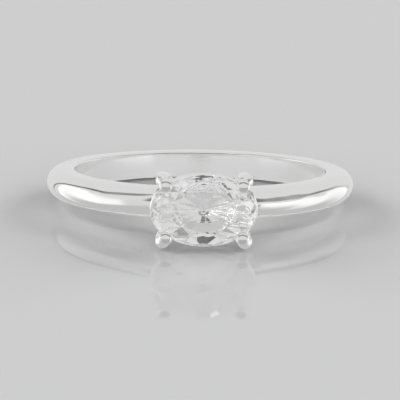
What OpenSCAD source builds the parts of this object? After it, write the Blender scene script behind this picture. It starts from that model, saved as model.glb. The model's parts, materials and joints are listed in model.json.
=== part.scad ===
// Solitaire ring with an oval stone set along the band, lying on its side as it rests on a table.
// In the ring's own frame the bore runs along Z and the stone faces -Y. At the end the ring is
// tipped about X until two prongs and the back of the band touch the table.

/* [Band] */
// Inner diameter
inner_d = 16.5; // [15:0.1:21]
// Thickness from the bore to the crest of the dome
band_t = 1.8; // [1.5:0.05:2.2]
// Width along the finger
band_w = 1.84; // [1.6:0.02:2.4]
// Rounding of the two edges of the bore
bore_edge_r = 0.18; // [0.1:0.02:0.3]

/* [Stone] */
// Length, along the band
stone_l = 6.38; // [5.6:0.02:7.2]
// Width, across the band
stone_w = 4.32; // [3.8:0.02:4.8]
// Size of the table, as a share of the width
table_share = 0.575; // [0.52:0.005:0.64]
// Height of the crown, as a share of the width
crown_share = 0.115; // [0.1:0.005:0.15]
// How far the stars reach from the table towards the girdle
star_reach = 0.3; // [0.25:0.01:0.7]
// Depth of the pavilion, as a share of the width
pavilion_share = 0.248; // [0.22:0.002:0.27]
// How far the mains of the back reach from the culet towards the girdle
main_reach = 0.88; // [0.84:0.01:0.9]
// How many times as steep as the mains the girdle facets of the back are
girdle_steep = 1.47; // [1.3:0.01:1.6]
// Thickness of the girdle at its widest
girdle_t = 0.14; // [0.1:0.02:0.24]

/* [Setting] */
// Height of the middle of the girdle above the crest of the band
girdle_rise = 1.876; // [1.8:0.004:2.2]
// Diameter of the prong wire
prong_d = 0.88; // [0.7:0.02:1]
// Diameter of the round prong tips
tip_d = 0.8; // [0.6:0.02:0.9]
// How far the wire's middle stands outside the girdle
prong_out = 0.36; // [0.24:0.02:0.4]
// How far the tip's middle stands outside the girdle
tip_out = 0.06; // [0:0.02:0.2]
// Height of the tips above the middle of the girdle
tip_rise = 0.8; // [0.7:0.02:1]
// Diameter of the gallery rail's wire
rail_d = 0.5; // [0.4:0.02:0.6]
// How far the rail's outer edge stands outside the girdle
rail_out = 0.05; // [0:0.01:0.08]
// Distance from the middle of the girdle back to the middle of the rail
rail_drop = 0.6; // [0.55:0.05:0.8]

/* [Hidden] */
$fn = 96;

bore_r = inner_d / 2;
crest_r = bore_r + band_t;
dome_r = band_w / 2;
dome_at = crest_r - dome_r;      // distance of the dome's centre from the bore's axis

half_l = stone_l / 2;
half_w = stone_w / 2;
crown_h = crown_share * stone_w;
pavilion_h = pavilion_share * stone_w;
girdle_at = crest_r + girdle_rise;   // the girdle's middle, from the bore's axis

wire_r = prong_d / 2;
rail_r = rail_d / 2;
tip_r = tip_d / 2;
tip_round = 0.2 * tip_d;         // rounding of the tip's edge
tip_dome = 0.05 * tip_d;         // how far the tip's face bulges
tip_face_r = tip_r - tip_round;
tip_dome_r = (pow(tip_face_r, 2) + pow(tip_dome, 2)) / (2 * tip_dome);
tip_len = 0.6;                   // from the tip's face back into the wire
shoulder_rise = 0.12;            // centre of the wire's round end, in front of the middle of the girdle
knee_drop = 0.95;                // the wire's bend, behind the middle of the girdle
knee_in = 0.06;                  // how far the bend lies inside the wire's upper end
knee_ball = 1.04;                // the bend's ball against the wire's radius
root_x = 1.3;                    // middle of the wire's foot, along the band
root_z = 0.4;                    // and across it
root_depth = 0.62;               // the foot's end, below the crest of the band
seat_gap = 0.03;                 // between the stone and its notches
overlap = 0.02;                  // how far one shape of the metal runs into the next
corner = 45;                     // the prongs stand at this angle of the girdle's ellipse
quarters = [[1, 1], [-1, 1], [-1, -1], [1, -1]];

// A point of the girdle's ellipse, moved outwards by so much, at this height in front of the girdle
corner_p = [half_l * cos(corner), half_w * sin(corner)];
corner_n = [cos(corner) / half_l, sin(corner) / half_w] / norm([cos(corner) / half_l, sin(corner) / half_w]);
function at_corner(out, rise) = [
    corner_p[0] + out * corner_n[0],
    -(girdle_at + rise),
    corner_p[1] + out * corner_n[1]
];

tip_p = at_corner(tip_out, tip_rise);
shoulder_p = at_corner(prong_out, shoulder_rise);
knee_p = at_corner(prong_out - knee_in, -knee_drop);
root_p = [root_x, -(crest_r - root_depth), root_z];

// The radius of the girdle's curve at a prong, which the notch follows
corner_r = pow(norm([half_l * sin(corner), half_w * cos(corner)]), 3) / (half_l * half_w);

// How the ring rests: on the lower side of two prongs and on the round back of the band. A line
// that touches the band's dome and a ball of the prong below the bore's middle plane is the table.
function table_angle(ball_at, ball_r) =
    let (run = dome_at - ball_at[1])
    atan2(ball_at[2], run) + asin((ball_r - dome_r) / norm([run, ball_at[2]]));

rest_angle = max(table_angle(knee_p, wire_r * knee_ball), table_angle(shoulder_p, wire_r));
lift = dome_at * sin(rest_angle) + dome_r;

// The part's box runs from the faces of the lower tips to the back of the band
front_y = (tip_p[1] - tip_dome + tip_dome_r) * cos(rest_angle) - tip_p[2] * sin(rest_angle) - tip_dome_r;
back_y = dome_at * cos(rest_angle) + dome_r;

module rest() {
    translate([0, -(front_y + back_y) / 2, lift]) rotate([-rest_angle, 0, 0]) children();
}

// Turns a shape that runs along +Z so that it starts at one point and runs towards another
module along(from, to) {
    way = to - from;
    translate(from) rotate([0, acos(way[2] / norm(way)), atan2(way[1], way[0])]) children();
}

module quarter(q) {
    mirror([q[0] < 0 ? 1 : 0, 0, 0]) mirror([0, 0, q[1] < 0 ? 1 : 0]) children();
}

// Outline of the band: a square corner part with rounded bore edges, and a half-round dome
module band_outline() {
    edge_z = band_w / 2 - bore_edge_r;
    translate([bore_r, -edge_z]) square([dome_at - bore_r, 2 * edge_z]);
    translate([bore_r + bore_edge_r, -band_w / 2]) square([dome_at - bore_r - bore_edge_r, band_w]);
    for (side = [-1, 1]) translate([bore_r + bore_edge_r, side * edge_z]) circle(bore_edge_r);
    translate([dome_at, 0]) circle(dome_r);
}

module band() {
    rotate_extrude() band_outline();
}

// The foot and the upper wire meet at a ball in the bend
module prong_wire() {
    reach = norm(knee_p - root_p);
    rise = norm(shoulder_p - knee_p);
    along(root_p, knee_p) cylinder(h = reach, r = wire_r);
    translate(knee_p) sphere(wire_r * knee_ball);
    along(knee_p, shoulder_p) rotate_extrude() {
        square([wire_r, rise]);
        intersection() {
            translate([0, rise]) circle(wire_r);
            square([wire_r, rise + wire_r]);
        }
    }
}

// A short round button with a softened edge and a slightly domed face
module prong_tip() {
    translate(tip_p) rotate([-90, 0, 0]) rotate_extrude() {
        translate([0, tip_round]) square([tip_r, tip_len - tip_round]);
        square([tip_face_r, tip_round + overlap]);
        translate([tip_face_r, tip_round]) circle(tip_round);
        intersection() {
            translate([0, tip_dome_r - tip_dome]) circle(tip_dome_r);
            translate([0, -tip_dome]) square([tip_face_r, tip_dome + overlap]);
        }
    }
}

// The notch that holds the girdle, cut as a setter's bur cuts it: a wheel with a pointed edge
module seat_notch() {
    crown_slope = crown_h / (half_w * (1 - table_share));
    pavilion_slope = girdle_drop / half_w;
    wheel_r = corner_r + seat_gap;
    flat_h = girdle_t / 2 + seat_gap;
    centre = corner_p - corner_r * corner_n;
    depth = 1.2;
    translate([centre[0], -girdle_at, centre[1]]) rotate([90, 0, 0]) rotate_extrude() polygon([
        [0, -flat_h - depth * pavilion_slope],
        [wheel_r - depth, -flat_h - depth * pavilion_slope],
        [wheel_r, -flat_h],
        [wheel_r, flat_h],
        [wheel_r - depth, flat_h + depth * crown_slope],
        [0, flat_h + depth * crown_slope]
    ]);
}

module prong() {
    difference() {
        union() {
            prong_wire();
            prong_tip();
        }
        seat_notch();
    }
}

// The rail is an oval of four round arcs whose ends are buried in the prongs
module rail() {
    end_half = half_l + rail_out - rail_r;      // the oval's half length and half width, at the wire's middle
    side_half = half_w + rail_out - rail_r;
    end_r = 0.5 * side_half + 0.5 * side_half * side_half / end_half;
    end_c = end_half - end_r;
    side_r = (end_c * end_c + side_half * side_half - end_r * end_r) / (2 * (side_half - end_r));
    side_c = side_r - side_half;
    turn = atan2(side_c, end_c);                // where an end arc passes into a side arc
    short = 0.6;                                // each arc stops this many degrees short
    translate([0, -girdle_at + rail_drop, 0]) rotate([90, 0, 0]) {
        for (end = [0, 180]) rotate([0, 0, end]) translate([end_c, 0, 0])
            rotate([0, 0, -turn + short]) rotate_extrude(angle = 2 * (turn - short))
                translate([end_r, 0]) circle(rail_r);
        for (side = [90, 270]) rotate([0, 0, side]) translate([-side_c, 0, 0])
            rotate([0, 0, turn - 90 + short]) rotate_extrude(angle = 2 * (90 - turn - short))
                translate([side_r, 0]) circle(rail_r);
    }
}

module ring() {
    color("gainsboro") rest() {
        band();
        rail();
        for (q = quarters) quarter(q) prong();
    }
}

// The cut of the stone. Above the girdle are eight mains, eight stars and sixteen girdle facets. Below
// it are sixteen mains, and sixteen steeper girdle facets that each straddle the edge of two mains.
// It is worked out on a round stone of radius 1 and stretched into the oval.
mains = 8;
step = 360 / mains;
back_mains = 2 * mains;
back_step = 360 / back_mains;
arc_steps = 6;                       // points along the girdle for each of its sixteen facets, an even number
crown_top = girdle_t / 2 + crown_h;
culet_low = -(girdle_t / 2 + pavilion_h);

function polar(r, a, h) = [r * cos(a), r * sin(a), h];

// Height of the crown's main plane at a distance from the axis, along the main's own middle
function crown_main(r) = crown_top - crown_h * (r - table_share) / (1 - table_share);

// A star's outer corner lies where two neighbouring mains meet
star_r = table_share + star_reach * (1 - table_share);
star_h = crown_main(star_r * cos(step / 2));

// Drop from the girdle to the axis along a main of the back, and along a facet that meets the girdle
main_drop = pavilion_h / (girdle_steep - (girdle_steep - 1) * main_reach);
girdle_drop = girdle_steep * main_drop;

// The girdle facets of the back have an inner corner on the edge of two mains, and meet each other
// from the girdle in to a corner on a main's middle line
half_cos = cos(back_step / 2);
corner_drop = (girdle_drop - main_drop) * main_reach;
inner_r = corner_drop / (girdle_drop - main_drop * half_cos);
outer_r = corner_drop / (girdle_drop * half_cos - main_drop);
inner_h = culet_low + main_drop * inner_r * half_cos;
outer_h = culet_low + main_drop * outer_r;

// Height at which a plane through three points stands over a point of the girdle
function plane_h(p, q, r, at) =
    let (n = cross(q - p, r - p))
    p[2] - (n[0] * (at[0] - p[0]) + n[1] * (at[1] - p[1])) / n[2];

// Height of the girdle's upper edge at angle a, from the facet that covers it and its star's corner
function upper_h(a) =
    let (k = floor(a / (step / 2)))
    let (mid = (k % 2 == 0 ? k + 1 : k) * step / 2)
    plane_h(
        polar(star_r, mid, star_h),
        polar(1, k * step / 2, girdle_t / 2),
        polar(1, (k + 1) * step / 2, girdle_t / 2),
        polar(1, a, 0)
    );

// Height of the girdle's lower edge, which dips where two girdle facets of the back meet
function lower_h(a) = -girdle_t / 2 - girdle_drop * (1 - cos(a - back_step * round(a / back_step)));

rim_n = back_mains * arc_steps;
rim_a = [for (i = [0 : rim_n - 1]) i * 360 / rim_n];
table_pts = [for (i = [0 : mains - 1]) polar(table_share, i * step, crown_top)];
star_pts = [for (i = [0 : mains - 1]) polar(star_r, (i + 0.5) * step, star_h)];
upper_pts = [for (a = rim_a) polar(1, a, upper_h(a))];
lower_pts = [for (a = rim_a) polar(1, a, lower_h(a))];
inner_pts = [for (i = [0 : back_mains - 1]) polar(inner_r, i * back_step, inner_h)];
outer_pts = [for (i = [0 : back_mains - 1]) polar(outer_r, (i + 0.5) * back_step, outer_h)];
gem_points = concat(table_pts, star_pts, upper_pts, lower_pts, inner_pts, outer_pts, [[0, 0, culet_low]]);

star_0 = mains;
upper_0 = star_0 + mains;
lower_0 = upper_0 + rim_n;
inner_0 = lower_0 + rim_n;
outer_0 = inner_0 + back_mains;
culet_i = outer_0 + back_mains;
half_arc = arc_steps / 2;
function main_i(i) = (i + mains) % mains;
function back_i(i) = (i + back_mains) % back_mains;
function rim_i(i) = (i + rim_n) % rim_n;

// Faces are listed clockwise as seen from outside
gem_faces = concat(
    [[for (i = [mains - 1 : -1 : 0]) i]],
    [for (i = [0 : mains - 1]) [i, main_i(i + 1), star_0 + i]],
    [for (i = [0 : mains - 1]) [i, star_0 + i, upper_0 + rim_i(2 * i * arc_steps), star_0 + main_i(i - 1)]],
    [for (i = [0 : mains - 1]) for (h = [0, 1])
        concat([star_0 + i],
            [for (j = [arc_steps : -1 : 0]) upper_0 + rim_i((2 * i + h) * arc_steps + j)])],
    [for (i = [0 : rim_n - 1]) [upper_0 + i, upper_0 + rim_i(i + 1), lower_0 + rim_i(i + 1), lower_0 + i]],
    [for (i = [0 : back_mains - 1])
        concat([inner_0 + i, outer_0 + back_i(i - 1)],
            [for (j = [-half_arc : half_arc]) lower_0 + rim_i(i * arc_steps + j)],
            [outer_0 + i])],
    [for (i = [0 : back_mains - 1]) [culet_i, inner_0 + i, outer_0 + i, inner_0 + back_i(i + 1)]]
);

module stone() {
    color([0.93, 0.96, 1, 0.6]) rest()
        translate([0, -girdle_at, 0]) rotate([90, 0, 0])
            polyhedron(
                points = [for (p = gem_points) [p[0] * half_l, p[1] * half_w, p[2]]],
                faces = gem_faces
            );
}

ring();
stone();
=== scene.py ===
# Solitaire ring with an oval zircon, set around its CAD frame. Metres, Z up, the stone towards -Y.
# Sizes in the tables are millimetres, in the ring's own frame: its bore runs along Z there, and the
# rest pose at the end of each tree tips it onto two prongs and the back of the band.
import json
import math

import bpy
from mathutils import Matrix, Vector

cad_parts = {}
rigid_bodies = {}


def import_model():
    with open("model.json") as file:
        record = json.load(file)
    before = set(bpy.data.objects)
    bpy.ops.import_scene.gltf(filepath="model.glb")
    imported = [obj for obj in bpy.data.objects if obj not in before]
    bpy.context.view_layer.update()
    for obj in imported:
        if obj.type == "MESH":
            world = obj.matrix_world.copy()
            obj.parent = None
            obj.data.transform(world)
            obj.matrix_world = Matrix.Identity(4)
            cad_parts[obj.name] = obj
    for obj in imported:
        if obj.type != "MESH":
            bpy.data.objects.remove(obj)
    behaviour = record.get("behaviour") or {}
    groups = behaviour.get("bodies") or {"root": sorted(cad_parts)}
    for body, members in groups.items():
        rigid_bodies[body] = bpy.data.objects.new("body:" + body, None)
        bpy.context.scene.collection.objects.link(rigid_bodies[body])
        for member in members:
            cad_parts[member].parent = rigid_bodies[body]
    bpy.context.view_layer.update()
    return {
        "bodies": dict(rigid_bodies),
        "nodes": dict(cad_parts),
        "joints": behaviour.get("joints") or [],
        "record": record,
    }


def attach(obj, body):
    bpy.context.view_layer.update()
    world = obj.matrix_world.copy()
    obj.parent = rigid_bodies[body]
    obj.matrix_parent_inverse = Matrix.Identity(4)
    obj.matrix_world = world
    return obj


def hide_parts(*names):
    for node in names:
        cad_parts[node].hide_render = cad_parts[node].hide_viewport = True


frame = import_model()
scene = bpy.context.scene
mm = 0.001
print("frame loaded:", sorted(frame["nodes"]))

restPose = {
    "tip": 3.73456,                      # degrees that the stone's end is raised
    "place": (0.0, 1.40628, 1.51468),    # middle of the bore
}
restTurn = Matrix.Rotation(math.radians(-restPose["tip"]), 4, "X")
restMatrix = Matrix.Translation(Vector(restPose["place"]) * mm) @ restTurn

# The camera comes first. It stands where the photo's stood against the ring's own plane.
cameraPlace = {
    "eye": (-2.5428, -118.4166, 17.5516),
    "look": (0.0213068, 0.9874176, -0.1566925),
    "roll": 0.746,                       # degrees, right side lower
    "lens": 163.3,
    "sensor": 36,
    "clip": (0.01, 10),                  # metres
}


def makeCamera(spec):
    data = bpy.data.cameras.new("camera")
    data.sensor_width = spec["sensor"]
    data.lens = spec["lens"]
    data.clip_start, data.clip_end = spec["clip"]
    camera = bpy.data.objects.new("camera", data)
    scene.collection.objects.link(camera)
    look = Vector(spec["look"]).normalized()
    right = look.cross(Vector((0, 0, 1))).normalized()
    up = right.cross(look)
    axes = Matrix((right, up, -look)).transposed().to_4x4()
    axes = axes @ Matrix.Rotation(math.radians(spec["roll"]), 4, "Z")
    camera.matrix_world = restMatrix @ Matrix.Translation(Vector(spec["eye"]) * mm) @ axes
    scene.camera = camera


makeCamera(cameraPlace)
print("camera set")


# Helpers for node trees. What goes into an input is either a value or another node's output.
def plug(tree, socket, value):
    if isinstance(value, bpy.types.NodeSocket):
        tree.links.new(value, socket)
    else:
        socket.default_value = value


def addNode(tree, kind, **settings):
    node = tree.nodes.new(kind)
    for name, value in settings.items():
        setattr(node, name, value)
    return node


def feed(tree, node, **values):
    for name, value in values.items():
        plug(tree, node.inputs[name.replace("_", " ")], value)
    return node.outputs[0]


def maths(tree):
    def calc(operation, *terms):
        node = addNode(tree, "ShaderNodeMath", operation=operation)
        for socket, term in zip(node.inputs, terms):
            plug(tree, socket, term)
        return node.outputs[0]
    return calc


# Goes from one value to the other as the share goes from 0 to 1
def blend(calc, share, start, end):
    return calc("MULTIPLY_ADD", share, calc("SUBTRACT", end, start), start)


def vectors(tree):
    def calc(operation, *terms):
        node = addNode(tree, "ShaderNodeVectorMath", operation=operation)
        if operation == "SCALE":
            plug(tree, node.inputs[0], terms[0])
            plug(tree, node.inputs["Scale"], terms[1])
        else:
            for socket, term in zip(node.inputs, terms):
                plug(tree, socket, term)
        return node.outputs["Value" if operation in ("LENGTH", "DOT_PRODUCT") else 0]
    return calc


def newTree(name, sizes):
    tree = bpy.data.node_groups.new(name, "GeometryNodeTree")
    tree.interface.new_socket("Geometry", in_out="OUTPUT", socket_type="NodeSocketGeometry")
    for label, value in sizes.items():
        kind = "Int" if isinstance(value, int) else "Float" if isinstance(value, float) else "Vector"
        tree.interface.new_socket(label, in_out="INPUT", socket_type="NodeSocket" + kind)
    tree.interface.new_socket("material", in_out="INPUT", socket_type="NodeSocketMaterial")
    return tree, tree.nodes.new("NodeGroupInput").outputs


# The end of every tree: millimetres to metres, the rest pose, one real mesh with its material
def finishTree(tree, sizes, geometry):
    place = addNode(tree, "GeometryNodeTransform")
    plug(tree, place.inputs["Translation"], Vector(restPose["place"]) * mm)
    plug(tree, place.inputs["Rotation"], (math.radians(-restPose["tip"]), 0, 0))
    plug(tree, place.inputs["Scale"], (mm, mm, mm))
    plug(tree, place.inputs["Geometry"], geometry)
    smooth = feed(tree, addNode(tree, "GeometryNodeSetShadeSmooth"), Geometry=place.outputs[0])
    real = feed(tree, addNode(tree, "GeometryNodeRealizeInstances"), Geometry=smooth)
    coat = feed(tree, addNode(tree, "GeometryNodeSetMaterial"), Geometry=real, Material=sizes["material"])
    plug(tree, addNode(tree, "NodeGroupOutput").inputs[0], coat)


def meshFromTree(name, tree, sizes, material):
    piece = bpy.data.objects.new(name, bpy.data.meshes.new(name))
    scene.collection.objects.link(piece)
    modifier = piece.modifiers.new("build", "NODES")
    modifier.node_group = tree
    for item in tree.interface.items_tree:
        if item.in_out == "INPUT":
            modifier[item.identifier] = material if item.name == "material" else sizes[item.name]
    mesh = bpy.data.meshes.new_from_object(piece.evaluated_get(bpy.context.evaluated_depsgraph_get()))
    piece.modifiers.clear()
    mesh.name = name
    piece.data = mesh
    print(name, "made:", len(mesh.polygons), "faces")
    return piece


# Polished white metal with hair-fine polishing lines round the ring. The bore is polished less.
metalLook = {
    "bright": (0.925, 0.923, 0.92, 1),
    "dull": (0.9, 0.898, 0.893, 1),
    "roughness": (0.03, 0.05),
    "satinRoughness": (0.1, 0.16),
    "satinWithin": 8.262,                # mm from the bore's middle
    "satinFade": 0.01,
    "mottleScale": 0.9,
    "mottleDetail": 5,
    "lineScale": (2.0, 1.0, 26.0),       # lines run round the ring
    "lineDetail": 3,
    "bumpDepth": 0.004,
    "polishBump": 0.02,
    "satinBump": 0.25,
}


def whiteMetal(spec):
    material = bpy.data.materials.new("whiteMetal")
    material.use_nodes = True
    tree = material.node_tree
    calc = maths(tree)
    shader = tree.nodes["Principled BSDF"]
    # Millimetres in the ring's own frame, whatever piece it is on
    inRing = addNode(tree, "ShaderNodeMapping", vector_type="TEXTURE")
    plug(tree, inRing.inputs["Vector"], addNode(tree, "ShaderNodeTexCoord").outputs["Object"])
    plug(tree, inRing.inputs["Location"], Vector(restPose["place"]) * mm)
    plug(tree, inRing.inputs["Rotation"], (math.radians(-restPose["tip"]), 0, 0))
    plug(tree, inRing.inputs["Scale"], (mm, mm, mm))
    where = inRing.outputs[0]
    apart = addNode(tree, "ShaderNodeSeparateXYZ")
    plug(tree, apart.inputs[0], where)
    across, along, up = apart.outputs
    out = calc("SQRT", calc("ADD", calc("MULTIPLY", across, across), calc("MULTIPLY", along, along)))
    satin = addNode(tree, "ShaderNodeMapRange", interpolation_type="SMOOTHSTEP")
    plug(tree, satin.inputs["Value"], out)
    plug(tree, satin.inputs["From Min"], spec["satinWithin"] + spec["satinFade"])
    plug(tree, satin.inputs["From Max"], spec["satinWithin"])
    satin = satin.outputs[0]
    mottle = addNode(tree, "ShaderNodeTexNoise")
    plug(tree, mottle.inputs["Vector"], where)
    plug(tree, mottle.inputs["Scale"], spec["mottleScale"])
    plug(tree, mottle.inputs["Detail"], spec["mottleDetail"])
    around = addNode(tree, "ShaderNodeCombineXYZ")
    turn = calc("ARCTAN2", across, along)
    for socket, value, scale in zip(around.inputs, (turn, out, up), spec["lineScale"]):
        plug(tree, socket, calc("MULTIPLY", value, scale))
    lines = addNode(tree, "ShaderNodeTexNoise")
    plug(tree, lines.inputs["Vector"], around.outputs[0])
    plug(tree, lines.inputs["Scale"], 1.0)
    plug(tree, lines.inputs["Detail"], spec["lineDetail"])
    share = mottle.outputs[0]
    rough = blend(calc, satin, blend(calc, share, *spec["roughness"]),
                  blend(calc, lines.outputs[0], *spec["satinRoughness"]))
    bump = addNode(tree, "ShaderNodeBump")
    plug(tree, bump.inputs["Strength"], blend(calc, satin, spec["polishBump"], spec["satinBump"]))
    plug(tree, bump.inputs["Distance"], spec["bumpDepth"] * mm)
    plug(tree, bump.inputs["Height"], lines.outputs[0])
    tint = addNode(tree, "ShaderNodeMix", data_type="RGBA")
    plug(tree, tint.inputs["Factor"], share)
    plug(tree, tint.inputs[6], spec["dull"])
    plug(tree, tint.inputs[7], spec["bright"])
    plug(tree, shader.inputs["Base Color"], tint.outputs[2])
    plug(tree, shader.inputs["Roughness"], rough)
    plug(tree, shader.inputs["Normal"], bump.outputs[0])
    shader.inputs["Metallic"].default_value = 1
    return material


metal = whiteMetal(metalLook)


# The band is a D-shaped outline swept round the bore
bandSizes = {
    "bore radius": 8.25,
    "thickness": 1.8,
    "width": 1.84,
    "bore edge": 0.18,
    "dome edge": 0.92,
    "flat cuts": 5,
    "flat length": 0.3,                  # what is shorter belongs to a rounded edge
    "weld": 0.002,
    "edge steps": 10,
    "dome steps": 36,
    "round steps": 288,
}


def bandTree(spec):
    tree, size = newTree("band", spec)
    calc = maths(tree)
    half = calc("DIVIDE", size["thickness"], 2.0)
    middle = calc("ADD", size["bore radius"], half)
    path = addNode(tree, "GeometryNodeCurvePrimitiveCircle")
    circle = feed(tree, path, Resolution=size["round steps"], Radius=middle)
    outline = addNode(tree, "GeometryNodeCurvePrimitiveQuadrilateral")
    plug(tree, outline.inputs["Width"], size["thickness"])
    plug(tree, outline.inputs["Height"], size["width"])
    spot = addNode(tree, "ShaderNodeSeparateXYZ")
    plug(tree, spot.inputs[0], addNode(tree, "GeometryNodeInputPosition").outputs[0])
    outer = calc("GREATER_THAN", spot.outputs[0], 0.0)
    rounded = addNode(tree, "GeometryNodeFilletCurve", mode="POLY")
    plug(tree, rounded.inputs["Curve"], outline.outputs[0])
    plug(tree, rounded.inputs["Radius"], blend(calc, outer, size["bore edge"], size["dome edge"]))
    plug(tree, rounded.inputs["Count"], blend(calc, outer, size["edge steps"], size["dome steps"]))
    plug(tree, rounded.inputs["Limit Radius"], True)
    # The flats get a few points of their own, so that they shade flat up to their rounded edges
    here = addNode(tree, "GeometryNodeInputPosition").outputs[0]
    after = addNode(tree, "GeometryNodeOffsetPointInCurve")
    plug(tree, after.inputs["Offset"], 1)
    there = addNode(tree, "GeometryNodeFieldAtIndex", data_type="FLOAT_VECTOR", domain="POINT")
    plug(tree, there.inputs["Index"], after.outputs["Point Index"])
    plug(tree, there.inputs["Value"], here)
    gap = vectors(tree)("LENGTH", vectors(tree)("SUBTRACT", there.outputs[0], here))
    cuts = calc("MULTIPLY", calc("GREATER_THAN", gap, size["flat length"]), size["flat cuts"])
    split = addNode(tree, "GeometryNodeSubdivideCurve")
    split = feed(tree, split, Curve=rounded.outputs[0], Cuts=cuts)
    sweep = addNode(tree, "GeometryNodeCurveToMesh")
    plug(tree, sweep.inputs["Curve"], circle)
    plug(tree, sweep.inputs["Profile Curve"], split)
    # The two rounded edges meet at the crest, and their doubled points become one
    welded = addNode(tree, "GeometryNodeMergeByDistance")
    plug(tree, welded.inputs["Geometry"], sweep.outputs[0])
    plug(tree, welded.inputs["Distance"], size["weld"])
    finishTree(tree, size, welded.outputs[0])
    return tree


band = meshFromTree("band", bandTree(bandSizes), bandSizes, metal)

# Where the setting stands: the stone is an oval, and each prong stands at one corner of its ellipse
setting = {
    "cornerAt": 45,                      # degrees, before the circle is stretched to the oval
    "stoneLength": 6.38,
    "stoneWidth": 4.32,
    "girdleAt": 11.926,                  # middle of the girdle, from the bore's middle
    "girdleThick": 0.14,
    "crownHeight": 0.4968,
    "girdleDrop": 1.4908,                # what a facet behind the girdle drops on its way to the axis
    "tableShare": 0.575,
    "wire": 0.88,
    "tip": 0.8,
    "wireOut": 0.36,                     # middle of the wire, outside the girdle
    "tipOut": 0.06,
    "tipRise": 0.8,                      # the tip's face, in front of the girdle
    "shoulderRise": 0.12,
    "kneeDrop": 0.95,
    "kneeIn": 0.06,
    "rail": 0.5,
    "railOut": 0.05,
    "railDrop": 0.6,
    "foot": (1.3, -9.43, 0.4),
    "notchGap": 0.03,
}
halfLong = setting["stoneLength"] / 2
halfWide = setting["stoneWidth"] / 2
cornerTurn = math.radians(setting["cornerAt"])
aside, upward = math.cos(cornerTurn), math.sin(cornerTurn)
cornerNormal = Vector((aside / halfLong, 0, upward / halfWide)).normalized()
cornerPoint = Vector((halfLong * aside, 0, halfWide * upward))
cornerRadius = math.hypot(halfLong * upward, halfWide * aside) ** 3 / (halfLong * halfWide)


def atCorner(out, rise):
    return cornerPoint + cornerNormal * out + Vector((0, -setting["girdleAt"] - rise, 0))


# The rail is an oval of four round arcs, two at the ends and two along the sides
railRadius = setting["rail"] / 2
railLong = halfLong + setting["railOut"] - railRadius
railWide = halfWide + setting["railOut"] - railRadius
endRadius = 0.5 * railWide + 0.5 * railWide ** 2 / railLong
endMiddle = railLong - endRadius
sideRadius = (endMiddle ** 2 + railWide ** 2 - endRadius ** 2) / (2 * (railWide - endRadius))
railSizes = {
    "wire radius": railRadius,
    "end radius": endRadius,
    "end middle": endMiddle,
    "side radius": sideRadius,
    "side middle": sideRadius - railWide,
    "at": -setting["girdleAt"] + setting["railDrop"],
    "around": 240,
    "wire steps": 40,
}


def railTree(spec):
    tree, size = newTree("rail", spec)
    calc = maths(tree)
    spot = addNode(tree, "GeometryNodeInputIndex").outputs[0]
    turn = calc("MULTIPLY", spot, calc("DIVIDE", math.tau, size["around"]))
    across, up = calc("COSINE", turn), calc("SINE", turn)
    join = calc("ARCTAN2", size["side middle"], size["end middle"])
    atEnd = calc("GREATER_THAN", calc("ABSOLUTE", across), calc("COSINE", join))
    atSide = calc("SUBTRACT", 1.0, atEnd)
    radius = blend(calc, atEnd, size["side radius"], size["end radius"])
    endShift = calc("MULTIPLY", calc("MULTIPLY", atEnd, calc("SIGN", across)), size["end middle"])
    sideShift = calc("MULTIPLY", calc("MULTIPLY", atSide, calc("SIGN", up)), size["side middle"])
    place = addNode(tree, "ShaderNodeCombineXYZ")
    plug(tree, place.inputs[0], calc("MULTIPLY_ADD", radius, across, endShift))
    plug(tree, place.inputs[1], size["at"])
    plug(tree, place.inputs[2], calc("SUBTRACT", calc("MULTIPLY", radius, up), sideShift))
    circle = addNode(tree, "GeometryNodeCurvePrimitiveCircle")
    plug(tree, circle.inputs["Resolution"], size["around"])
    oval = addNode(tree, "GeometryNodeSetPosition")
    oval = feed(tree, oval, Geometry=circle.outputs[0], Position=place.outputs[0])
    wire = addNode(tree, "GeometryNodeCurvePrimitiveCircle")
    plug(tree, wire.inputs["Resolution"], size["wire steps"])
    plug(tree, wire.inputs["Radius"], size["wire radius"])
    sweep = addNode(tree, "GeometryNodeCurveToMesh")
    plug(tree, sweep.inputs["Curve"], oval)
    plug(tree, sweep.inputs["Profile Curve"], wire.outputs[0])
    finishTree(tree, size, sweep.outputs[0])
    return tree


rail = meshFromTree("rail", railTree(railSizes), railSizes, metal)

# The prongs are cast shapes: a distance is worked out around their middle lines and made a skin.
# Where wires meet, and at the rail and the band, the distances melt into each other as solder does.
prongSizes = {
    "foot": Vector(setting["foot"]),
    "knee": atCorner(setting["wireOut"] - setting["kneeIn"], -setting["kneeDrop"]),
    "shoulder": atCorner(setting["wireOut"], setting["shoulderRise"]),
    "tip": atCorner(setting["tipOut"], setting["tipRise"]),
    "wire radius": setting["wire"] / 2,
    "tip radius": setting["tip"] / 2,
    "tip round": 0.15,
    "tip length": 0.62,
    "tip dome": 0.04,
    "melt": 0.06,
    "foot melt": 0.012,                  # square mm
    "solder": 0.3,
    "rail solder": 0.15,
    "solder reach": 0.24,
    "sunk": 0.012,
    "root depth": 0.1,
    "low": Vector((0.7, -12.85, -2.4)),
    "high": Vector((3.0, -8.85, 2.4)),
    "grain": 0.03,
}


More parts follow.
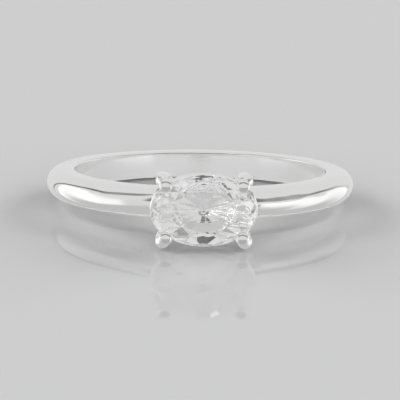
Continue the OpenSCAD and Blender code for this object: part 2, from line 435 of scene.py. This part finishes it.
def prongTree(spec):
    tree, size = newTree("prongs", spec)
    calc, vec = maths(tree), vectors(tree)
    where = addNode(tree, "GeometryNodeInputPosition").outputs[0]
    apart = addNode(tree, "ShaderNodeSeparateXYZ")
    plug(tree, apart.inputs[0], where)
    across, along = apart.outputs[0], apart.outputs[1]
    # The upper and the lower prong are one shape, mirrored softly where their feet meet
    up = calc("SQRT", calc("MULTIPLY_ADD", apart.outputs[2], apart.outputs[2], size["foot melt"]))
    fold = addNode(tree, "ShaderNodeCombineXYZ")
    for socket, value in zip(fold.inputs, (across, along, up)):
        plug(tree, socket, value)
    point = fold.outputs[0]

    def melt(first, second, amount):
        gap = calc("DIVIDE", calc("ABSOLUTE", calc("SUBTRACT", first, second)), amount)
        near = calc("MAXIMUM", calc("SUBTRACT", 1.0, gap), 0.0)
        lift = calc("MULTIPLY", calc("MULTIPLY", near, near), calc("MULTIPLY", amount, 0.25))
        return calc("SUBTRACT", calc("MINIMUM", first, second), lift)

    def flat(first, second):
        squares = calc("MULTIPLY", first, first), calc("MULTIPLY", second, second)
        return calc("SQRT", calc("ADD", *squares))

    def wire(start, end, radius):
        way, off = vec("SUBTRACT", end, start), vec("SUBTRACT", point, start)
        share = calc("DIVIDE", vec("DOT_PRODUCT", off, way), vec("DOT_PRODUCT", way, way))
        share = calc("MINIMUM", calc("MAXIMUM", share, 0.0), 1.0)
        return calc("SUBTRACT", vec("LENGTH", vec("SUBTRACT", off, vec("SCALE", way, share))), radius)

    def button(tip, radius, edge, length, dome):
        off = addNode(tree, "ShaderNodeSeparateXYZ")
        plug(tree, off.inputs[0], vec("SUBTRACT", point, tip))
        out = flat(off.outputs[0], off.outputs[2])
        crown = calc("SUBTRACT", 1.0, calc("POWER", calc("DIVIDE", out, radius), 2.0))
        crown = calc("MULTIPLY", dome, crown)
        half = calc("MULTIPLY", length, 0.5)
        deep = calc("ABSOLUTE", calc("SUBTRACT", off.outputs[1], half))
        deep = calc("SUBTRACT", calc("SUBTRACT", deep, half), calc("SUBTRACT", crown, edge))
        wide = calc("SUBTRACT", out, calc("SUBTRACT", radius, edge))
        outside = flat(calc("MAXIMUM", wide, 0.0), calc("MAXIMUM", deep, 0.0))
        inside = calc("MINIMUM", calc("MAXIMUM", wide, deep), 0.0)
        return calc("SUBTRACT", calc("ADD", outside, inside), edge)

    prong = melt(wire(size["foot"], size["knee"], size["wire radius"]),
                 wire(size["knee"], size["shoulder"], size["wire radius"]), size["melt"])
    prong = melt(prong, button(size["tip"], size["tip radius"], size["tip round"], size["tip length"],
                               size["tip dome"]), size["melt"])

    # The rail and the band, a hair under their own skins
    bend = calc("DIVIDE", railSizes["side middle"], railSizes["end middle"])
    fromEnd = calc("SUBTRACT", across, railSizes["end middle"])
    pastEnd = calc("GREATER_THAN", calc("MULTIPLY", fromEnd, bend), up)
    beside = calc("SUBTRACT", 1.0, pastEnd)
    toEnd = calc("SUBTRACT", flat(fromEnd, up), railSizes["end radius"])
    toSide = flat(across, calc("ADD", up, railSizes["side middle"]))
    toSide = calc("SUBTRACT", toSide, railSizes["side radius"])
    toOval = calc("ADD", calc("MULTIPLY", pastEnd, toEnd), calc("MULTIPLY", beside, toSide))
    toRail = flat(toOval, calc("SUBTRACT", along, railSizes["at"]))
    toRail = calc("SUBTRACT", toRail, calc("SUBTRACT", railSizes["wire radius"], size["sunk"]))
    domeRadius = bandSizes["dome edge"]
    domeMiddle = bandSizes["bore radius"] + bandSizes["thickness"] - domeRadius
    fromDome = calc("MAXIMUM", calc("SUBTRACT", flat(across, along), domeMiddle), 0.0)
    toBand = flat(fromDome, apart.outputs[2])
    toBand = calc("SUBTRACT", toBand, calc("SUBTRACT", domeRadius, size["sunk"]))
    joined = melt(melt(prong, toRail, size["rail solder"]), toBand, size["solder"])
    joined = calc("MAXIMUM", joined, calc("SUBTRACT", prong, size["solder reach"]))
    joined = calc("MAXIMUM", joined, calc("MULTIPLY", calc("ADD", size["root depth"], toBand), -1.0))

    # The notch, a wheel with a pointed edge that follows the stone
    wheelMiddle = cornerPoint - cornerNormal * cornerRadius
    wheelRadius = cornerRadius + setting["notchGap"]
    flatHalf = setting["girdleThick"] / 2 + setting["notchGap"]
    inward = calc("SUBTRACT", wheelRadius, flat(calc("SUBTRACT", across, wheelMiddle[0]),
                                                calc("SUBTRACT", up, wheelMiddle[2])))
    rise = calc("SUBTRACT", -setting["girdleAt"], along)
    crownSlope = setting["crownHeight"] / (halfWide * (1 - setting["tableShare"]))
    pavilionSlope = setting["girdleDrop"] / halfWide
    above = calc("SUBTRACT", calc("ADD", calc("MULTIPLY", inward, crownSlope), flatHalf), rise)
    below = calc("ADD", calc("ADD", calc("MULTIPLY", inward, pavilionSlope), flatHalf), rise)
    above = calc("DIVIDE", above, math.hypot(1, crownSlope))
    below = calc("DIVIDE", below, math.hypot(1, pavilionSlope))
    inWheel = calc("MINIMUM", inward, calc("MINIMUM", above, below))
    joined = calc("MAXIMUM", joined, inWheel)

    block = addNode(tree, "GeometryNodeVolumeCube")
    plug(tree, block.inputs["Density"], calc("SUBTRACT", 1.0, joined))
    plug(tree, block.inputs["Min"], size["low"])
    plug(tree, block.inputs["Max"], size["high"])
    span = addNode(tree, "ShaderNodeSeparateXYZ")
    plug(tree, span.inputs[0], vec("SUBTRACT", size["high"], size["low"]))
    for axis, length in zip("XYZ", span.outputs):
        count = calc("CEIL", calc("DIVIDE", length, size["grain"]))
        plug(tree, block.inputs["Resolution " + axis], count)
    skin = addNode(tree, "GeometryNodeVolumeToMesh", resolution_mode="GRID")
    plug(tree, skin.inputs["Volume"], block.outputs[0])
    plug(tree, skin.inputs["Threshold"], 1.0)

    # The pair at the other end of the stone is its mirror image
    pair = addNode(tree, "GeometryNodeTransform")
    plug(tree, pair.inputs["Geometry"], skin.outputs[0])
    plug(tree, pair.inputs["Scale"], (-1, 1, 1))
    turned = feed(tree, addNode(tree, "GeometryNodeFlipFaces"), Mesh=pair.outputs[0])
    both = addNode(tree, "GeometryNodeJoinGeometry")
    tree.links.new(skin.outputs[0], both.inputs[0])
    tree.links.new(turned, both.inputs[0])
    finishTree(tree, size, both.outputs[0])
    return tree


prongs = meshFromTree("prongs", prongTree(prongSizes), prongSizes, metal)

for piece in (band, rail, prongs):
    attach(piece, "root")
    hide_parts("ring")
    piece.visible_diffuse = False        # it throws no light back on the table

# The stone keeps its CAD facets: clear zircon, with the faintest haze left by the polishing wheel
stoneLook = {
    "colour": (1.0, 1.0, 1.0, 1),
    "index": 1.9,
    "roughness": (0.0, 0.006),
    "hazeScale": 1500.0,
}


def zirconLook(spec):
    material = bpy.data.materials.new("zircon")
    material.use_nodes = True
    tree = material.node_tree
    shader = tree.nodes["Principled BSDF"]
    haze = addNode(tree, "ShaderNodeTexNoise")
    plug(tree, haze.inputs["Vector"], addNode(tree, "ShaderNodeTexCoord").outputs["Object"])
    plug(tree, haze.inputs["Scale"], spec["hazeScale"])
    rough = blend(maths(tree), haze.outputs[0], *spec["roughness"])
    plug(tree, shader.inputs["Roughness"], rough)
    shader.inputs["Base Color"].default_value = spec["colour"]
    shader.inputs["IOR"].default_value = spec["index"]
    shader.inputs["Transmission Weight"].default_value = 1
    return material


stone = frame["nodes"]["stone"]
for slot in stone.material_slots:
    slot.material = zirconLook(stoneLook)
print("stone finished")

# A glossy pale table, wide enough that the camera sees nothing past it. The metal doesn't mirror it:
# inside the ring it mirrors a disc of its own, which nothing else sees, and outside the ring the
# studio's underside, which keeps its lower side bright.
tableTop = {
    "insideRadius": 9.1,                 # mm, round the middle of the bore
    "reach": 1600.0,
    "around": 128,
    "colour": (0.9, 0.9, 0.905, 1),
    "gloss": 0.17,
    "roughness": 0.03,
}


def tablePaint(spec):
    material = bpy.data.materials.new("glossyTable")
    material.use_nodes = True
    tree = material.node_tree
    tree.nodes.clear()
    paint = feed(tree, addNode(tree, "ShaderNodeBsdfDiffuse"), Color=spec["colour"])
    shine = addNode(tree, "ShaderNodeBsdfAnisotropic")
    shine = feed(tree, shine, Color=(1, 1, 1, 1), Roughness=spec["roughness"])
    mix = addNode(tree, "ShaderNodeMixShader")
    for socket, value in zip(mix.inputs, (spec["gloss"], paint, shine)):
        plug(tree, socket, value)
    plug(tree, addNode(tree, "ShaderNodeOutputMaterial").inputs[0], mix.outputs[0])
    return material


# Makes the table in two parts and the mirrored disc, and gives back the disc
def makeTable(spec):
    around = spec["around"]
    paint = tablePaint(spec)
    middle = restPose["place"][1]

    def rim(radius):
        turns = [math.tau * i / around for i in range(around)]
        return [(radius * math.cos(a) * mm, (middle + radius * math.sin(a)) * mm, 0) for a in turns]

    inside, far = rim(spec["insideRadius"]), rim(spec["reach"])
    nextOne = [(i + 1) % around for i in range(around)]
    surround = [(i, around + i, around + nextOne[i], nextOne[i]) for i in range(around)]
    disc = [tuple(range(around))]
    parts = (("tableInside", inside, disc, False), ("tableTop", inside + far, surround, False),
             ("mirroredTable", inside, disc, True))
    for name, points, faces, inMetal in parts:
        mesh = bpy.data.meshes.new(name)
        mesh.from_pydata(points, [], faces)
        mesh.materials.append(paint)
        part = bpy.data.objects.new(name, mesh)
        scene.collection.objects.link(part)
        part.visible_glossy = inMetal
        part.visible_camera = part.visible_diffuse = part.visible_shadow = not inMetal
        part.visible_transmission = False
    return part


mirroredTable = makeTable(tableTop)

# Wide low lamps on both sides make the soft shadow round the ring. What the bore throws on the table
# isn't traced: a faint pool of light inside the ring stands in for it, and a glow that lights the
# mirrored disc alone. The metal and the stone don't see the lamps, they mirror the studio instead.
# Bearings and heights are degrees, as in the studio below.
lamps = {
    "away": 5.0,                         # metres
    "wide": {                            # radius in metres
        "sideLamp": {"bearings": (-120, 120), "height": 18, "radius": 2.3, "power": 213.0},
        "frontLamp": {"bearings": (-30, 30), "height": 13, "radius": 1.3, "power": 71.0},
        "topLamp": {"bearings": (0,), "height": 90, "radius": 1.3, "power": 22.5},
    },
    "over": 0.5,                         # metres that the other two hang over the table
    # Millimetres, and the spot is measured from under the middle of the bore
    "pool": {"spot": (0.4, 0.5), "radius": 7.5, "size": 4.0, "power": 3.0},
    "glow": 2.05,                        # watts a square metre
}


# Only, if given, is the one object that the lamp lights and that can block it
def addLamp(name, data, power, place, aim=(0, 0, 0), only=None):
    data.energy = power
    lamp = bpy.data.objects.new(name, data)
    lamp.location = place
    lamp.rotation_euler = (place - Vector(aim)).to_track_quat("Z", "Y").to_euler()
    lamp.visible_glossy = False
    lamp.visible_transmission = False
    scene.collection.objects.link(lamp)
    if only:
        lit = bpy.data.collections.new(name)
        lit.objects.link(only)
        lamp.light_linking.receiver_collection = lit
        lamp.light_linking.blocker_collection = lit


def hangLamps(spec):
    for name, wide in spec["wide"].items():
        height = math.radians(wide["height"])
        flat = math.cos(height)
        for bearing in wide["bearings"]:
            data = bpy.data.lights.new(name, "AREA")
            data.shape = "DISK"
            data.size = 2 * wide["radius"]
            turn = math.radians(bearing)
            way = Vector((math.sin(turn) * flat, -math.cos(turn) * flat, math.sin(height)))
            addLamp(name, data, wide["power"], way * spec["away"])
    over, pool = Vector((0, 0, spec["over"])), spec["pool"]
    x, y = pool["spot"]
    spot = Vector((x, y + restPose["place"][1], 0)) * mm
    data = bpy.data.lights.new("middlePool", "SPOT")
    data.spot_size = 2 * math.atan(pool["radius"] * mm / spec["over"])
    data.spot_blend = 1
    data.shadow_soft_size = pool["size"] * mm
    addLamp("middlePool", data, pool["power"], spot + over, aim=spot)
    data = bpy.data.lights.new("boreGlow", "SUN")
    addLamp("boreGlow", data, spec["glow"], over, only=mirroredTable)


hangLamps(lamps)

# The studio is painted on the world by direction: an even pale room, a soft box on either side, a
# band over each box, and some panels over all that. Bearings and heights are degrees: 0 towards the
# camera, positive to the right. What belongs to a box follows the bearing through a few points, level
# past the last one and kept within its range. A panel is seen by the metal, by light that comes out
# of the stone, or by both.
studio = {
    "room": 0.75,
    "under": 0.56,                       # below the table's level
    "underFrom": -6,
    "underTo": -40,
    "frameSoft": 2.5,
    "framePast": {"from": 8, "to": 4, "fromSoft": 2, "toSoft": 6},
    "ranges": {
        "top": (-90, 90), "topSoft": (0, 20), "base": (-90, 90), "baseSoft": (0, 20), "light": (0, 2),
        "frame": (-90, 90), "frameHalf": (0, 12), "frameLight": (0, 2),
    },
    "boxes": {
        "left": {
            "from": -135, "to": -45, "fromSoft": 2, "toSoft": 12,
            "top": ((-143, -8), (-135, -19.5), (-130, 11), (-120, 20), (-105, 22), (-90, 13),
                    (-75, 5.5), (-60, 6), (-40, 46)),
            "topSoft": ((-143, 8), (-105, 5), (-90, 8), (-75, 16), (-60, 15), (-40, 10)),
            "base": ((-143, -28), (-132, -33.5), (-120, -18), (-105, -23), (-92, -33), (-75, -32.5),
                     (-60, -27), (-40, -15.5)),
            "baseSoft": ((-143, 20), (-120, 20), (-90, 7), (-40, 8)),
            "light": ((-143, 1.1), (-110, 1.12), (-92, 1.13), (-79, 1.06), (-65, 1.02), (-53, 0.72),
                      (-40, 0.74)),
            "frame": ((-143, -15), (-137, 4), (-131, 17), (-120, 27), (-109, 33), (-94, 34), (-86, 37),
                      (-79, 41), (-66, 50), (-50, 58)),
            "frameHalf": ((-143, 3.5), (-95, 3.5), (-82, 11.8), (-66, 11.8), (-50, 6.6)),
            "frameLight": ((-143, 0.2), (-95, 0.14), (-82, 0.36), (-66, 0.28), (-50, 1.39)),
        },
        "right": {
            "from": 39, "to": 141, "fromSoft": 10.5, "toSoft": 2.5,
            "top": ((42, 0.5), (60, -1.5), (75, 1.5), (85, 7.5), (100, 2.5), (115, 14), (125, 13),
                    (133, 8), (143, -7.5)),
            "topSoft": ((42, 7), (75, 1), (100, 5), (143, 4)),
            "base": ((42, -3.5), (60, -30.5), (75, -28.5), (88, -41), (100, -41.5), (115, -16.5),
                     (143, -29)),
            "baseSoft": ((42, 18), (90, 37), (143, 22)),
            "light": ((42, 0.66), (50, 1.1), (60, 1.08), (69, 1.1), (85, 1.06), (110, 1.04),
                      (143, 1.12)),
            "frame": ((42, 41), (52, 22), (60, 21), (67, 23), (77, 22), (85, 25), (94, 22), (111, 22),
                      (120, 19), (129, 17), (136, 8), (143, -4)),
            "frameHalf": ((42, 11.6), (60, 12), (75, 12), (88, 8), (100, 4), (143, 3.5)),
            "frameLight": ((42, 0.44), (60, 0.34), (75, 0.42), (90, 0.34), (110, 0.24), (125, 0.4),
                           (143, 0.56)),
        },
    },
    "panelColumns": ("middle", "side", "low", "high", "soft", "light", "seen"),
    "panels": (
        (12, 32, -44, -7, 1.5, 0.45, "both"),            # the dark below the camera
        (3, 46, 12, 40, 4, 0.2, "metal"),                # and an arch over it
        # Cards that give the stone its dark and bright facets
        (-18.6, 3.3, 4.2, 24.5, 1.2, 1.8, "stone"),
        (23.7, 12.5, 46.2, 52.9, 3.2, 0.03, "stone"),
        (134.3, 8.2, 34, 57.7, 1, 0.21, "stone"),
        (-3.5, 16.5, -13.9, -6, 0.9, 0.03, "stone"),
        (-0.6, 3.8, 1.6, 34.5, 1, 0.03, "stone"),
        (168, 16.7, -55.8, -49.6, 1, 0.03, "stone"),
        (-40.9, 16.7, 12.5, 19.1, 1, 1.68, "stone"),
        (-142, 8.6, 15, 39.1, 2.5, 0.24, "stone"),
        (6.9, 34.7, -90, -79, 1.4, 0.03, "stone"),
        (-13.6, 7.1, 36.4, 40.5, 1.2, 0.07, "stone"),
    ),
}


def lightStudio(spec):
    world = bpy.data.worlds.new("studio")
    world.use_nodes = True
    tree = world.node_tree
    calc = maths(tree)
    way = addNode(tree, "ShaderNodeSeparateXYZ")
    plug(tree, way.inputs[0], addNode(tree, "ShaderNodeTexCoord").outputs["Generated"])
    bearing = calc("ARCTAN2", way.outputs[0], calc("MULTIPLY", way.outputs[1], -1.0))
    bearing = calc("MULTIPLY", bearing, 180 / math.pi)
    height = calc("MULTIPLY", calc("ARCSINE", way.outputs[2]), 180 / math.pi)

    # 0 below an edge and 1 above it, with a soft step between
    def past(value, edge, soft):
        node = addNode(tree, "ShaderNodeMapRange", interpolation_type="SMOOTHSTEP")
        plug(tree, node.inputs["Value"], calc("SUBTRACT", value, edge))
        plug(tree, node.inputs["From Min"], calc("MULTIPLY", soft, -1.0))
        plug(tree, node.inputs["From Max"], soft)
        return node.outputs[0]

    def within(value, low, high, lowSoft, highSoft):
        below = calc("SUBTRACT", 1.0, past(value, high, highSoft))
        return calc("MULTIPLY", past(value, low, lowSoft), below)

    def alongBearing(points, low, high):
        curve = addNode(tree, "ShaderNodeFloatCurve")
        line = curve.mapping.curves[0]
        spots = [((a + 180) / 360, (v - low) / (high - low)) for a, v in points]
        line.points[0].location, line.points[1].location = spots[0], spots[-1]
        for spot in spots[1:-1]:
            line.points.new(*spot)
        curve.mapping.extend = "HORIZONTAL"
        curve.mapping.update()
        plug(tree, curve.inputs["Value"], calc("MULTIPLY_ADD", bearing, 1 / 360, 0.5))
        return calc("MULTIPLY_ADD", curve.outputs[0], float(high - low), float(low))

    fade = 0.5 * (spec["underFrom"] - spec["underTo"])
    above = past(height, 0.5 * (spec["underFrom"] + spec["underTo"]), fade)
    light = blend(calc, above, spec["under"], spec["room"])
    beyond = spec["framePast"]
    for box in spec["boxes"].values():
        curve = {name: alongBearing(box[name], *span) for name, span in spec["ranges"].items()}
        frame = calc("ABSOLUTE", calc("SUBTRACT", height, curve["frame"]))
        frame = calc("SUBTRACT", 1.0, past(frame, curve["frameHalf"], spec["frameSoft"]))
        frameWide = within(bearing, box["from"] - beyond["from"], box["to"] + beyond["to"],
                           beyond["fromSoft"], beyond["toSoft"])
        light = blend(calc, calc("MULTIPLY", frame, frameWide), light, curve["frameLight"])
        wide = within(bearing, box["from"], box["to"], box["fromSoft"], box["toSoft"])
        lit = within(height, curve["base"], curve["top"], curve["baseSoft"], curve["topSoft"])
        light = blend(calc, calc("MULTIPLY", wide, lit), light, curve["light"])
    fromStone = addNode(tree, "ShaderNodeLightPath").outputs["Is Transmission Ray"]
    seenBy = {"stone": fromStone, "metal": calc("SUBTRACT", 1.0, fromStone), "both": 1.0}
    for row in spec["panels"]:
        panel = dict(zip(spec["panelColumns"], row))
        soft, side = panel["soft"], panel["side"]
        apart = calc("WRAP", calc("SUBTRACT", bearing, panel["middle"]), 180.0, -180.0)
        share = calc("MULTIPLY", within(apart, -side, side, soft, soft),
                     within(height, panel["low"], panel["high"], soft, soft))
        light = blend(calc, calc("MULTIPLY", share, seenBy[panel["seen"]]), light, panel["light"])
    plug(tree, tree.nodes["Background"].inputs["Color"], light)
    scene.world = world
    world.cycles_visibility.diffuse = False


lightStudio(studio)
scene.view_settings.view_transform = "Standard"

# Light takes many turns inside the stone before it is out
bounces = {"max": 24, "glossy": 20, "transmission": 24}
for kind, count in bounces.items():
    setattr(scene.cycles, kind + "_bounces", count)
print("studio lit")
